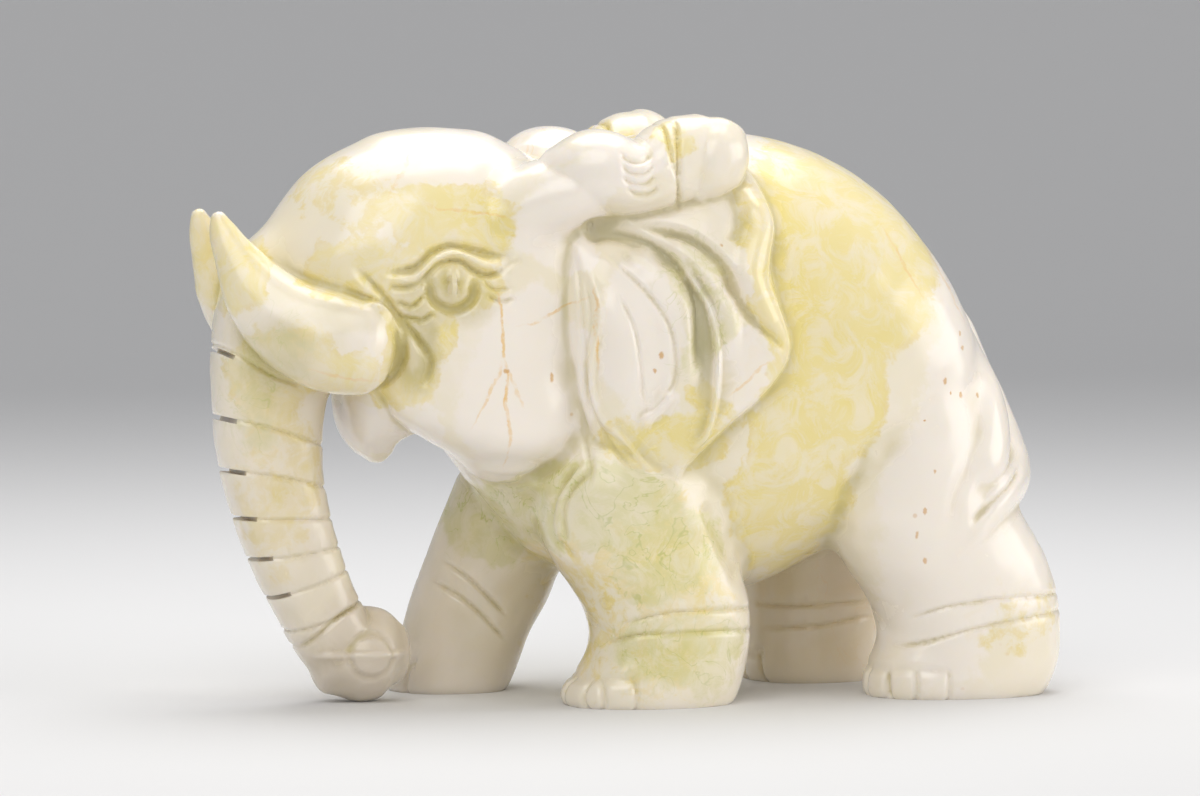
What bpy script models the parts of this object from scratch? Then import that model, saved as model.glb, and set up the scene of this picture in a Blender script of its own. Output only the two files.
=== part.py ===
"""A walking elephant carved from one block of serpentine: a statuette that stands on its four feet.

The figure is one solid. Its proportions are counted in grains, a grain being a 239th of its length,
so a table of 12, 40 and so on reads as millimetres at the real size. The head is at -X, the back is up,
and the side that the carver finished first, the left, is at -Y.

The masses are ovals carried along paths. They are fused into one skin, rubbed smooth, and then the
folds of the ears, the eyes, the lips and the legs, and the saw slits of the trunk, are cut into it.
"""

import bmesh
import bpy
import numpy as np
from mathutils import Matrix, Vector

# Driving sizes, in metres.
LENGTH = 0.239
SLIT_WIDTH = 0.0013
SLIT_DEPTH = 0.0040

GRAIN = LENGTH / 239

# How closely the blocked-out and the finished skins are followed, in grains.
BLOCK_VOXEL = 1.6
BLOCK_RUBS = 22
SKIN_VOXEL = 1.2
SKIN_RUBS = 3
SKIN_TRIANGLES = 9300
SHARP_ANGLE = float(np.radians(50))

# Masses that flow into each other. Upright tables: x, lowest z, highest z, half width.
TORSO = (
    (-36, 58, 130, 22),
    (-20, 40, 147, 35),
    (0, 31, 153, 41),
    (20, 28, 156.5, 46),
    (40, 29, 155.5, 48.5),
    (60, 38, 150.5, 49),
    (78, 47, 139, 47.5),
    (92, 55, 122, 43),
    (101, 66, 105, 32),
)

# Level tables: z, front x, back x, centre y, half width.
HEAD = (
    (66, -42, -30, 0, 18),
    (72, -48, -22, 0, 24),
    (80, -65, -17, 0, 30),
    (89, -80, -14, 0, 33),
    (100, -90, -12, 0, 34.5),
    (112, -96, -11, 0, 35),
    (124, -98, -11, 0, 34),
    (135, -92, -13, 0, 31.5),
    (143, -86, -17, 0, 27.5),
    (149.5, -77.5, -21, 0, 21.5),
    (154, -68, -30, 0, 14),
)
CHEEK = (
    (66.5, -45.5, -24, -21, 9),
    (70, -51, -19, -21.5, 14.5),
    (75, -59.5, -14, -21, 17.5),
    (80, -66, -11, -20, 18.5),
    (88, -69, -9, -19, 19),
    (97, -67, -8, -18.5, 19),
    (110, -60, -8, -18, 18.5),
    (124, -51, -9, -17, 18),
    (134, -46, -12, -16.5, 15.5),
    (142, -40, -17, -16, 11.5),
)
JAW = (
    (66.5, -67, -62.5, 0, 5),
    (68.5, -70, -61, 0, 8),
    (72, -72.5, -59.5, 0, 13),
    (77, -74.3, -50, 0, 18),
    (83, -75, -44, 0, 21.5),
    (90, -75.3, -44, 0, 23),
)
NEAR_FORE_LEG = (
    (0, -19, 29, -27, 19),
    (4, -19.5, 31, -27, 19),
    (9, -15, 32, -27, 19),
    (18, -10.5, 33.5, -27, 18.5),
    (29, -14, 33, -27, 19),
    (43, -23, 29, -26, 20),
    (60, -24, 27, -24, 21.5),
    (82, -15, 22, -19, 20.5),
)
FAR_FORE_LEG = (
    (0, -55, -20, 27, 18),
    (14, -50, -14.5, 27, 18),
    (26, -46.5, -8, 27, 18),
    (38, -42, -3, 26, 19),
    (58, -34, 6, 24, 21),
    (80, -24, 14, 20, 20),
)
NEAR_HIND_LEG = (
    (0, 68, 120, -27, 19),
    (7, 68.5, 123.5, -27, 19.5),
    (16, 73, 124.5, -27, 19.5),
    (27, 69.5, 123.5, -27, 20),
    (38, 62, 120, -27, 21),
    (52, 56, 112, -26, 22.5),
    (70, 61, 103, -24, 23.5),
    (90, 68, 97, -21, 24),
)
FAR_HIND_LEG = (
    (0, 50.5, 89, 27, 19),
    (22, 49.5, 91, 27, 19.5),
    (40, 49, 98, 26, 21),
    (58, 52, 104, 25, 22.5),
    (70, 61, 102, 24, 23.5),
    (90, 68, 97, 21, 24),
)

# Path tables: x, y, z, half across in the side view, half wide.
TRUNK = (
    (-76, 0, 116, 16, 20),
    (-84.5, 0, 113, 20.5, 18),
    (-89.5, 0, 106, 20, 16.5),
    (-93, 0, 97, 17.7, 15),
    (-94.8, 0, 86, 15.8, 13.5),
    (-95, 0, 73, 14.7, 12.7),
    (-93.8, 0, 63, 13.9, 12.2),
    (-91.2, 0, 51.3, 13, 11.8),
    (-87.5, 0, 40, 12.3, 11.4),
    (-83.5, 0, 31, 11.5, 11),
    (-78.7, 0, 21, 11.1, 11),
    (-73, 0, 13, 11, 11),
)
TRUNK_TIP = (
    (-80, 0, 11, 9, 9),
    (-72, 0, 12.6, 12.8, 12.5),
    (-64, 0, 13.3, 12.5, 12.5),
    (-58.5, 0, 13, 8.5, 8),
)
TUSK = (
    (-75, -26, 99, 13.6, 12.5),
    (-85, -23.5, 100.8, 13.8, 12),
    (-94.8, -20, 105.8, 12.2, 10.6),
    (-102.4, -17, 113.8, 9.4, 8.6),
    (-108, -14.3, 124, 5.7, 5.4),
    (-110.7, -13, 130, 3.8, 3.7),
    (-111.9, -12.4, 133.8, 2.2, 2.2),
)
FAR_CHEEK_BACK = 9.0
FAR_TUSK_BACK = 0.6
FAR_ROLL_BACK = 4.0
FAR_THUMB_RISE = 1.3
TAIL_ROOT = (
    (89, -6, 103, 9, 15),
    (96, -20, 87, 10.5, 16),
    (98, -30, 72, 10.5, 15),
    (95.5, -37, 60.5, 9, 12),
)
TAIL = (
    (93, 0, 109, 8, 7),
    (100, -1, 99.5, 8.5, 8),
    (104.3, -3, 87, 9.5, 9),
    (108.3, -6, 75.5, 10, 10),
    (109.3, -12, 67, 10.3, 11),
    (107, -23, 60.5, 10, 11),
    (100.5, -37, 56, 8.2, 9),
    (95, -43.5, 47.5, 5, 5),
    (89, -46, 41, 2, 2.5),
)
EAR_ROLL_ROOT = (
    (-38, -18, 131, 10, 12),
    (-27, -23, 136, 11.5, 14.5),
    (-14, -27.5, 141, 11, 15.5),
    (-4, -29, 142, 9, 13),
)
EAR_ROLL = (
    (-18, -23, 143.5, 9.5, 12),
    (-11, -28.5, 145.2, 12, 15.5),
    (-3, -30.5, 144, 11, 15),
    (3, -31, 144.2, 9.8, 14),
    (9, -31, 147, 11.6, 13.5),
    (15, -30.5, 149.5, 12, 13),
    (20, -29, 152, 10, 12),
)
EAR_THUMB = (
    (15.5, -31.5, 141, 6, 10),
    (19, -32, 145.5, 9.2, 12.5),
    (22, -32, 150.5, 9.8, 12.5),
    (24.2, -31, 155.5, 6.8, 10),
)

# The gap between the trunk and the lower lip: the x, z corners of a wedge sawn out of the soft masses.
MOUTH_GAP = ((-80.5, 58), (-79.8, 83.5), (-74.5, 83.5), (-68, 58))
MOUTH_GAP_HALF_WIDTH = 45

# The ear flap: x and z of its edge, in the side view, from the top of its front edge round the back.
EAR_EDGE = (
    (-20, 134),
    (2, 138),
    (18, 147),
    (30, 148),
    (36, 136),
    (34, 121),
    (36, 108),
    (38.5, 97),
    (32, 86),
    (20, 75),
    (11, 65),
    (7, 57.5),
    (-4, 64),
    (-13, 73),
    (-18, 88),
    (-21, 112),
)
EAR_MIDDLE = (9, 103)
EAR_PROUD = 5.5
EAR_ROOTED = 7.0

# Carving. Each row is a height, a half width and the x, z of a line in the side view. A height
# below nothing is a groove. The rows of a pair of ears, eyes and lips are cut on both sides.
EAR_FOLDS = (
    (2.4, 6.0, ((28, 140), (32, 132), (29.5, 124.5), (27.5, 117.5), (30.5, 108), (34.5, 100))),
    (-2.2, 3.5, ((-1, 131), (10, 129), (16.5, 125), (20.5, 120), (22.5, 113.5), (28, 105), (35.5, 98))),
    (-4.0, 4.6, ((5, 123.5), (8.5, 119), (13, 111.5), (14, 102.5), (14, 93.5), (13.5, 87))),
    (-2.4, 5.0, ((-16, 129), (-8.5, 130), (1, 126), (7.5, 120))),
    (1.6, 2.4, ((8, 122.5), (12, 116), (15.5, 109), (17.3, 98), (17, 85), (15, 75.5), (12, 71))),
    (2.4, 9.0, ((-11, 113), (-8, 105), (-6, 97), (-6, 88), (-8, 83))),
    (-1.2, 2.2, ((-18.5, 124.5), (-17.5, 107), (-17, 89.5), (-16, 78), (-15, 68), (-15.5, 62))),
    (1.2, 2.4, ((-15, 119), (-13, 108), (-15.5, 94), (-13.3, 80.5), (-5, 71.5), (1, 63.5))),
)
EYE_FOLDS = (
    (2.4, 6.0, ((-53.5, 115.5), (-51.5, 115.5))),
    (1.5, 2.8, ((-69.5, 117.3), (-63, 116.5), (-59.5, 120), (-55.5, 123), (-51, 124), (-36, 120.5))),
    (-2.0, 2.4, ((-69, 119), (-62.5, 120.5), (-58, 124.2), (-52.5, 126), (-46, 124.8), (-37.5, 123))),
    (-1.8, 2.2, ((-69.5, 115), (-63.5, 115.6), (-56, 121.5), (-50, 122), (-43, 118.2), (-34.5, 122))),
    (-2.0, 2.4, ((-59, 117), (-58, 112), (-54.5, 109.2), (-50.5, 109.2), (-47, 112), (-46, 117))),
)
LIP_FOLDS = (
    (1.5, 3.2, ((-79, 118), (-72, 110.5), (-66.5, 103.5), (-63, 97), (-63, 91))),
    (-1.6, 2.4, ((-76.5, 119), (-70.5, 112), (-64, 103.5), (-59.5, 98), (-58.5, 94), (-60, 89))),
    (-1.2, 2.2, ((-80, 114), (-71, 110.5), (-66, 104), (-65, 97), (-68, 90), (-74, 85.5))),
    (-1.0, 3.2, ((-44, 62.5), (-36, 61.5), (-27, 63), (-20.5, 68.5), (-16.5, 76.5))),
)
NEAR_FOLDS = (
    (-0.7, 4.0, ((63, 71), (60, 61), (57.5, 55), (58.5, 42))),
    (-0.8, 4.0, ((16, 56), (21, 46), (28, 33))),
    (-1.2, 2.2, ((-18, 66.5), (-22, 59.5), (-23.5, 53), (-23.5, 47), (-19, 41))),
    (-1.2, 2.2, ((110, 63), (104, 58.5), (98, 54.5), (92, 49))),
    (-1.2, 4.0, ((97, 78), (93, 69), (88, 59), (85, 48))),
)

# The saw slits in the front of the trunk: x and z of the mouth, x and z of the run across the trunk.
SLITS = (
    ((-110.5, 97.5), (9, -5)),
    ((-110, 79), (26, -6)),
    ((-107.5, 64.5), (26, -3)),
    ((-104.5, 51.5), (24, 0)),
    ((-100, 40.2), (22, 3)),
    ((-94.8, 29.6), (19, 7)),
)


def curve_through(table, per_span):
    """A smooth curve through the rows of a table: each span is a cubic whose end slopes are taken
    from the rows on either side."""
    rows = np.asarray(table, float)
    slopes = np.gradient(rows, axis=0)
    t = np.linspace(0, 1, per_span, endpoint=False)[None, :, None]
    start, end = rows[:-1, None], rows[1:, None]
    leave, arrive = slopes[:-1, None], slopes[1:, None]
    cubic = (
        (2 * t**3 - 3 * t**2 + 1) * start
        + (t**3 - 2 * t**2 + t) * leave
        + (3 * t**2 - 2 * t**3) * end
        + (t**3 - t**2) * arrive
    )
    return np.vstack([cubic.reshape(-1, rows.shape[1]), rows[-1:]])


def upright(table):
    """Path rows for a mass that is given by its lowest and highest line."""
    return [(x, 0, (low + high) / 2, (high - low) / 2, half) for x, low, high, half in table]


def level(table):
    """Path rows for a mass that is given by its front and back line."""
    return [((front + back) / 2, y, z, (back - front) / 2, half) for z, front, back, y, half in table]


def mirrored(table):
    """The same path on the other side of the figure."""
    return [(x, -y, z, across, wide) for x, y, z, across, wide in table]


def set_back(table, distance, rise=0.0):
    """The same path moved towards the tail, and up."""
    return [(x + distance, y, z + rise, across, wide) for x, y, z, across, wide in table]


def unit(vectors):
    return vectors / np.linalg.norm(vectors, axis=-1, keepdims=True)


def carried_oval(name, table, caps, squareness=2.0, across=None, sides=36, per_span=6):
    """A closed mass: an oval carried along a path and rounded off at both ends by caps of that length.
    The oval is (cos a, sin a), each to the power 2 over squareness. It stands square to the path, or
    holds the direction across in every section."""
    rows = curve_through(table, per_span)
    path, half_across, half_wide = rows[:, :3], rows[:, 3], rows[:, 4]
    along = unit(np.gradient(path, axis=0))
    if across is None:
        wide = unit(np.array([0.0, 1.0, 0.0]) - along * along[:, 1:2])
        up = np.cross(wide, along)
    else:
        up = np.tile(np.asarray(across, float), (len(path), 1))
        wide = np.tile([0.0, 1.0, 0.0], (len(path), 1))
        facing = np.cross(up, wide)
        along = facing * np.sign(np.sum(facing * along, axis=1, keepdims=True))
    turn = np.linspace(0, np.pi / 2, 6)[1:-1]
    first = [(0, np.cos(a), -caps[0] * np.sin(a)) for a in turn[::-1]]
    body = [(i, 1.0, 0.0) for i in range(len(path))]
    last = [(len(path) - 1, np.cos(a), caps[1] * np.sin(a)) for a in turn]
    index, shrink, push = (np.array(column) for column in zip(*(first + body + last)))
    index = index.astype(int)
    angle = np.linspace(0, 2 * np.pi, sides, endpoint=False)
    c = np.sign(np.cos(angle)) * np.abs(np.cos(angle)) ** (2 / squareness)
    s = np.sign(np.sin(angle)) * np.abs(np.sin(angle)) ** (2 / squareness)
    centres = path[index] + along[index] * push[:, None]
    rings = (
        centres[:, None]
        + up[index][:, None] * (half_across[index] * shrink)[:, None, None] * c[None, :, None]
        + wide[index][:, None] * (half_wide[index] * shrink)[:, None, None] * s[None, :, None]
    )
    poles = np.array([path[0] - along[0] * caps[0], path[-1] + along[-1] * caps[1]])
    points = np.vstack([rings.reshape(-1, 3), poles])
    count = len(index)
    ring = np.arange(count * sides).reshape(count, sides)
    after = np.roll(ring, -1, axis=1)
    quads = np.stack([ring[:-1], after[:-1], after[1:], ring[1:]], axis=-1).reshape(-1, 4)
    start_fan = np.stack([after[0], ring[0], np.full(sides, count * sides)], axis=-1)
    end_fan = np.stack([ring[-1], after[-1], np.full(sides, count * sides + 1)], axis=-1)
    mesh = bpy.data.meshes.new(name)
    mesh.from_pydata(points * GRAIN, [], quads.tolist() + start_fan.tolist() + end_fan.tolist())
    face_outwards(mesh)
    return mesh


def face_outwards(mesh):
    """Turns the faces of a closed mesh to point out."""
    work = bmesh.new()
    work.from_mesh(mesh)
    bmesh.ops.recalc_face_normals(work, faces=work.faces)
    work.to_mesh(mesh)
    work.free()


def torso_side(x, z):
    """Half the width of the torso at a place in the side view, from the ovals of its table."""
    rows = curve_through(TORSO, 6)
    low, high, half = (np.interp(x, rows[:, 0], rows[:, i]) for i in (1, 2, 3))
    share = np.abs((z - (low + high) / 2) / ((high - low) / 2))
    return half * np.maximum(1 - share**2.2, 0.02) ** (1 / 2.2)


def ear_flap(name, side):
    """The closed flap of one ear: rings that shrink from its edge to its middle, the outer skin
    standing proud of the torso and turned down at the edge, the inner skin rooted inside it."""
    edge = curve_through(EAR_EDGE + EAR_EDGE[:1], 5)[:-1]
    sides = len(edge)
    reach = np.linspace(1, 0.08, 14)
    flat = EAR_MIDDLE + (edge[None] - EAR_MIDDLE) * reach[:, None, None]
    turned = (1 - reach**10) ** 0.5
    body = np.maximum(torso_side(flat[..., 0], flat[..., 1]), 27)
    proud = body + EAR_PROUD * (0.35 + 0.65 * turned[:, None])
    rooted = body - EAR_ROOTED
    outer = np.dstack([flat[..., 0], side * proud, flat[..., 1]])
    inner = np.dstack([flat[..., 0], side * rooted, flat[..., 1]])
    rings = np.concatenate([inner[::-1], outer])
    middle = [ring[-1].mean(axis=0) for ring in (inner, outer)]
    points = np.vstack([rings.reshape(-1, 3), middle])
    ring = np.arange(len(rings) * sides).reshape(-1, sides)
    after = np.roll(ring, -1, axis=1)
    quads = np.stack([ring[:-1], after[:-1], after[1:], ring[1:]], axis=-1).reshape(-1, 4)
    start_fan = np.stack([after[0], ring[0], np.full(sides, ring.size)], axis=-1)
    end_fan = np.stack([ring[-1], after[-1], np.full(sides, ring.size + 1)], axis=-1)
    mesh = bpy.data.meshes.new(name)
    mesh.from_pydata(points * GRAIN, [], quads.tolist() + start_fan.tolist() + end_fan.tolist())
    face_outwards(mesh)
    return mesh


def cut_lines(points, normals, lines, sides):
    """How far each point moves out along its normal for lines drawn in the side view: a cosine swell
    across the line, dying away at both ends, on the faces that look to that side."""
    moved = np.zeros(len(points))
    for side in sides:
        facing = np.clip(2 * side * normals[:, 1], 0, 1) * (side * points[:, 1] > 4)
        for height, half, corners in lines:
            path = curve_through(corners, 6)
            start, run = path[:-1], np.diff(path, axis=0)
            away = points[:, None, [0, 2]] - start
            share = np.clip(np.sum(away * run, axis=2) / np.sum(run**2, axis=1), 0, 1)
            distance = np.linalg.norm(away - share[..., None] * run, axis=2)
            nearest = distance.argmin(axis=1)
            each = np.arange(len(points))
            along = (nearest + share[each, nearest]) / len(run)
            fade = np.clip(np.minimum(along, 1 - along) * 6 + 0.3, 0, 1)
            swell = 0.5 + 0.5 * np.cos(np.pi * np.clip(distance[each, nearest] / half, 0, 1))
            moved += height * swell * fade * facing
    return moved


def carve(mesh):
    """Cuts the folds of the ears, eyes and lips, and the creases of the near legs."""
    points = np.empty(len(mesh.vertices) * 3)
    mesh.vertices.foreach_get("co", points)
    normals = np.empty(len(mesh.vertices) * 3)
    mesh.vertex_normals.foreach_get("vector", normals)
    points, normals = points.reshape(-1, 3) / GRAIN, normals.reshape(-1, 3)
    moved = cut_lines(points, normals, EAR_FOLDS + EYE_FOLDS + LIP_FOLDS, (-1, 1))
    moved += cut_lines(points, normals, NEAR_FOLDS, (-1,))
    points += normals * moved[:, None]
    mesh.vertices.foreach_set("co", points.ravel() * GRAIN)
    mesh.update()


LEVEL, UPRIGHT = (1, 0, 0), (0, 0, 1)


def soft_masses():
    """The masses whose joins are rubbed into long soft hollows."""
    return [
        carried_oval("torso", upright(TORSO), (9, 5.5), 2.2, UPRIGHT),
        carried_oval("head", level(HEAD), (3, 3.5), 2.1, LEVEL),
        carried_oval("near_cheek", level(CHEEK), (6, 6), 2.5, LEVEL),
        carried_oval("far_cheek", set_back(mirrored(level(CHEEK)), FAR_CHEEK_BACK), (6, 6), 2.5, LEVEL),
        carried_oval("near_fore_leg", level(NEAR_FORE_LEG), (4, 14), 2.3, LEVEL),
        carried_oval("far_fore_leg", level(FAR_FORE_LEG), (4, 14), 2.3, LEVEL),
        carried_oval("near_hind_leg", level(NEAR_HIND_LEG), (4, 12), 2.3, LEVEL),
        carried_oval("far_hind_leg", level(FAR_HIND_LEG), (4, 12), 2.3, LEVEL),
        carried_oval("trunk", TRUNK, (10, 5), 2.8),
        carried_oval("near_ear_roll_root", EAR_ROLL_ROOT, (6, 5)),
        carried_oval("far_ear_roll_root", mirrored(EAR_ROLL_ROOT), (6, 5)),
        carried_oval("tail_root", TAIL_ROOT, (6, 6)),
    ]


def crisp_masses():
    """The masses that stand out of the figure with a clear edge."""
    return [
        carried_oval("trunk_tip", TRUNK_TIP, (4, 3), 1.6),
        carried_oval("jaw", level(JAW), (1, 3), 3.2, LEVEL),
        carried_oval("near_tusk", TUSK, (9, 1.5), 2.2),
        carried_oval("far_tusk", set_back(mirrored(TUSK), FAR_TUSK_BACK), (9, 1.5), 2.2),
        carried_oval("near_ear_roll", EAR_ROLL, (5, 4), 2.4),
        carried_oval("far_ear_roll", set_back(mirrored(EAR_ROLL), FAR_ROLL_BACK), (5, 4), 2.4),
        carried_oval("near_ear_thumb", EAR_THUMB, (4, 4), 2.3),
        carried_oval("far_ear_thumb", set_back(mirrored(EAR_THUMB), 0.0, FAR_THUMB_RISE), (4, 4), 2.3),
        ear_flap("near_ear_flap", -1),
        ear_flap("far_ear_flap", 1),
        carried_oval("tail", TAIL, (3, 3)),
    ]


def mouth_gap():
    """The wedge that is sawn out between the trunk and the lower lip, as a closed prism."""
    half = MOUTH_GAP_HALF_WIDTH
    points = np.array([(x, y, z) for y in (-half, half) for x, z in MOUTH_GAP]) * GRAIN
    count = len(MOUTH_GAP)
    sides = [(i, (i + 1) % count, count + (i + 1) % count, count + i) for i in range(count)]
    ends = [tuple(range(count)), tuple(range(count, 2 * count))]
    mesh = bpy.data.meshes.new("mouth_saw")
    mesh.from_pydata(points.tolist(), [], sides + ends)
    face_outwards(mesh)
    return mesh


def fused(meshes, voxel, rubs, sawn=None):
    """One skin round all the meshes, rubbed smooth that many times, with the sawn mesh taken out."""
    block = bpy.data.objects.new("block", join_meshes(meshes))
    bpy.context.scene.collection.objects.link(block)
    remesh = block.modifiers.new("fuse", "REMESH")
    remesh.mode = "VOXEL"
    remesh.voxel_size = voxel * GRAIN
    smooth = block.modifiers.new("rub", "SMOOTH")
    smooth.factor = 0.5
    smooth.iterations = rubs
    if sawn:
        saw = bpy.data.objects.new("saw", sawn)
        bpy.context.scene.collection.objects.link(saw)
        take_away(block, saw)
    skin = bpy.data.meshes.new_from_object(block.evaluated_get(bpy.context.evaluated_depsgraph_get()))
    bpy.data.objects.remove(block)
    if sawn:
        bpy.data.objects.remove(saw)
    return skin


def take_away(block, saw):
    """Leaves the block with the saw's shape cut out of it."""
    saw.hide_render = True
    saw.display_type = "WIRE"
    cuts = block.modifiers.new("cuts", "BOOLEAN")
    cuts.operation = "DIFFERENCE"
    cuts.solver = "EXACT"
    cuts.object = saw


def join_meshes(meshes):
    """All the meshes in one, each still a closed shell of its own."""
    work = bmesh.new()
    for mesh in meshes:
        work.from_mesh(mesh)
    joined = bpy.data.meshes.new("block")
    work.to_mesh(joined)
    work.free()
    return joined


def stand_flat(mesh):
    """Saws the figure off flat at the ground and closes the soles."""
    work = bmesh.new()
    work.from_mesh(mesh)
    everything = work.verts[:] + work.edges[:] + work.faces[:]
    cut = bmesh.ops.bisect_plane(
        work, geom=everything, plane_co=(0, 0, 0), plane_no=(0, 0, -1), clear_outer=True
    )
    rim = [item for item in cut["geom_cut"] if isinstance(item, bmesh.types.BMEdge)]
    bmesh.ops.holes_fill(work, edges=rim)
    work.to_mesh(mesh)
    work.free()


def slit_blades():
    """The saw cuts as thin blades that reach a slit's depth into the front of the trunk."""
    work = bmesh.new()
    for mouth, run in SLITS:
        inwards = unit(np.array([run[0], 0.0, run[1]]))
        upwards = np.array([-inwards[2], 0.0, inwards[0]])
        middle = np.array([mouth[0], 0.0, mouth[1]]) * GRAIN
        blade = bmesh.ops.create_cube(work, size=1)["verts"]
        for vert in blade:
            x, y, z = vert.co
            vert.co = (
                middle
                + inwards * (x * 2 * SLIT_DEPTH)
                + upwards * (z * SLIT_WIDTH)
                + np.array([0.0, y * 40 * GRAIN, 0.0])
            )
    mesh = bpy.data.meshes.new("trunk_saw")
    work.to_mesh(mesh)
    work.free()
    return mesh


def bring_to_length(meshes):
    """Scales the figure to its length and sets it on the origin: the middle of its footprint."""
    points = np.empty(len(meshes[0].vertices) * 3)
    meshes[0].vertices.foreach_get("co", points)
    points = points.reshape(-1, 3)
    low, high = points.min(axis=0), points.max(axis=0)
    middle = Vector(((low[0] + high[0]) / 2, (low[1] + high[1]) / 2, 0.0))
    scale = Matrix.Scale(LENGTH / (high[0] - low[0]), 4)
    for mesh in meshes:
        mesh.transform(scale @ Matrix.Translation(-middle))


def finish_edges(elephant):
    """Keeps the thinned and slit skin as the figure's own mesh, with its creases left sharp and no
    point of it below the ground."""
    finished = elephant.evaluated_get(bpy.context.evaluated_depsgraph_get())
    elephant.data = bpy.data.meshes.new_from_object(finished)
    elephant.modifiers.clear()
    work = bmesh.new()
    work.from_mesh(elephant.data)
    bmesh.ops.triangulate(work, faces=work.faces)
    for vert in work.verts:
        vert.co.z = max(vert.co.z, 0.0)
    for edge in work.edges:
        edge.smooth = edge.calc_face_angle(0.0) < SHARP_ANGLE
    work.to_mesh(elephant.data)
    work.free()


def clear_scene():
    for obj in list(bpy.data.objects):
        bpy.data.objects.remove(obj)


def stone():
    """Pale yellow-green serpentine with a waxy polish."""
    material = bpy.data.materials.new("serpentine")
    material.use_nodes = True
    shader = material.node_tree.nodes["Principled BSDF"]
    shader.inputs["Base Color"].default_value = (0.80, 0.77, 0.58, 1)
    shader.inputs["Roughness"].default_value = 0.3
    shader.inputs["Metallic"].default_value = 0.0
    return material


def main():
    clear_scene()
    body = fused(soft_masses(), BLOCK_VOXEL, BLOCK_RUBS, mouth_gap())
    skin = fused([body] + crisp_masses(), SKIN_VOXEL, SKIN_RUBS)
    carve(skin)
    skin.polygons.foreach_set("use_smooth", np.ones(len(skin.polygons), dtype=bool))
    stand_flat(skin)
    slits = slit_blades()
    bring_to_length([skin, slits])
    skin.name = "elephant"
    skin.materials.clear()
    skin.materials.append(stone())
    elephant = bpy.data.objects.new("elephant", skin)
    bpy.context.scene.collection.objects.link(elephant)
    thin = elephant.modifiers.new("thin", "DECIMATE")
    thin.ratio = min(1.0, SKIN_TRIANGLES / (2 * len(skin.polygons)))
    saw = bpy.data.objects.new("trunk_saw", slits)
    bpy.context.scene.collection.objects.link(saw)
    take_away(elephant, saw)
    finish_edges(elephant)


main()
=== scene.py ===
"""A walking elephant carved from one block of polished serpentine, on a pale table.

The figure is one piece. Its proportions are counted in grains, a grain being a 239th of its length,
which is read from the frame. The head is at -X, the back is up, and the side seen first, the left,
is at -Y. The masses are ovals carried along paths, fused into one skin and rubbed smooth. The folds
of the ears, the eyes, the rings of the trunk, the bands of the legs and the toes are then cut into
that skin as lines drawn in the side view, and the stone is coloured by place, grain and hollow. The
hollows, the ear hollows and the far, low side are darkened partly with painted shade, and the crests
are lightened with a painted highlight.
"""

import math

import bmesh
import bpy
import numpy as np
from mathutils import Matrix, Vector


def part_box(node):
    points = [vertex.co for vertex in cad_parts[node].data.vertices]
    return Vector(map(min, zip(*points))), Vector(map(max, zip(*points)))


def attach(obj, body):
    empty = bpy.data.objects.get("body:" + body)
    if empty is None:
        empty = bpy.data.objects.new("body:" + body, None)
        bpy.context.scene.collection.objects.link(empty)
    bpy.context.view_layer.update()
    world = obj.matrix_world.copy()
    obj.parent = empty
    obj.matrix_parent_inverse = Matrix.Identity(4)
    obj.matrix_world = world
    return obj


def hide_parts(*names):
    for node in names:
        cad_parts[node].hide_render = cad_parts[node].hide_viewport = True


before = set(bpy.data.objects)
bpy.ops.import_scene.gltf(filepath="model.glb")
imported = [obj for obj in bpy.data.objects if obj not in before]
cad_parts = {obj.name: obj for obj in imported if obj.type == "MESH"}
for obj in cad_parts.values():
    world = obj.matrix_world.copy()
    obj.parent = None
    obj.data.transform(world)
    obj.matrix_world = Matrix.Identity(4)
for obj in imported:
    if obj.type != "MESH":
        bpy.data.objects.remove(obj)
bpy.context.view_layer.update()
node_low, node_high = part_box("elephant")

LENGTH = node_high.x - node_low.x
GRAIN = LENGTH / 239
SLIT_WIDTH = 0.0013
SLIT_DEPTH = 0.0040
HAIR = 0.00003

# How closely the blocked-out and the finished skins are followed, in grains, and how often they are
# rubbed smooth.
BLOCK_VOXEL = 1.6
BLOCK_RUBS = 22
SKIN_VOXEL = 0.62
SKIN_RUBS = 10
SKIN_TRIANGLES = 192000
SHARP_ANGLE = math.radians(50)

# The x, in the tables, of the middle of the finished figure's footprint.
FIGURE_MIDDLE = 5.06

# The waviness that hand rubbing leaves in the polish: height and length of a wave, in grains.
WAVE_HEIGHT = 0.12
WAVE_LENGTH = 19.0

# Masses that flow into each other. Upright tables: x, lowest z, highest z, half width.
TORSO = (
    (-36, 58, 130, 22),
    (-20, 40, 147, 35),
    (0, 31, 153, 41),
    (20, 28, 156.5, 46),
    (40, 29, 155.5, 48.5),
    (60, 38, 150.5, 49),
    (78, 47, 139, 47.5),
    (92, 55, 122, 43),
    (101, 66, 105, 32),
)

# Level tables: z, front x, back x, centre y, half width.
HEAD = (
    (66, -42, -30, 0, 18),
    (72, -48, -22, 0, 24),
    (80, -65, -17, 0, 30),
    (89, -80, -14, 0, 33),
    (100, -90, -12, 0, 34.5),
    (112, -96, -11, 0, 35),
    (124, -98, -11, 0, 34),
    (135, -92, -13, 0, 31.5),
    (143, -86, -17, 0, 27.5),
    (149.5, -77.5, -21, 0, 21.5),
    (154, -68, -30, 0, 14),
)
CHEEK = (
    (66.5, -45.5, -24, -21, 9),
    (70, -51, -19, -21.5, 14.5),
    (75, -59.5, -14, -21, 17.5),
    (80, -66, -11, -20, 18.5),
    (88, -69, -9, -19, 19),
    (97, -67, -8, -18.5, 19),
    (110, -60, -8, -18, 18.5),
    (124, -51, -9, -17, 18),
    (134, -46, -12, -16.5, 15.5),
    (142, -40, -17, -16, 11.5),
)
JAW = (
    (66.5, -67, -62.5, 0, 5),
    (68.5, -70, -61, 0, 8),
    (72, -72.5, -59.5, 0, 13),
    (77, -74.3, -50, 0, 18),
    (83, -75, -44, 0, 21.5),
    (90, -75.3, -44, 0, 23),
)
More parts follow.
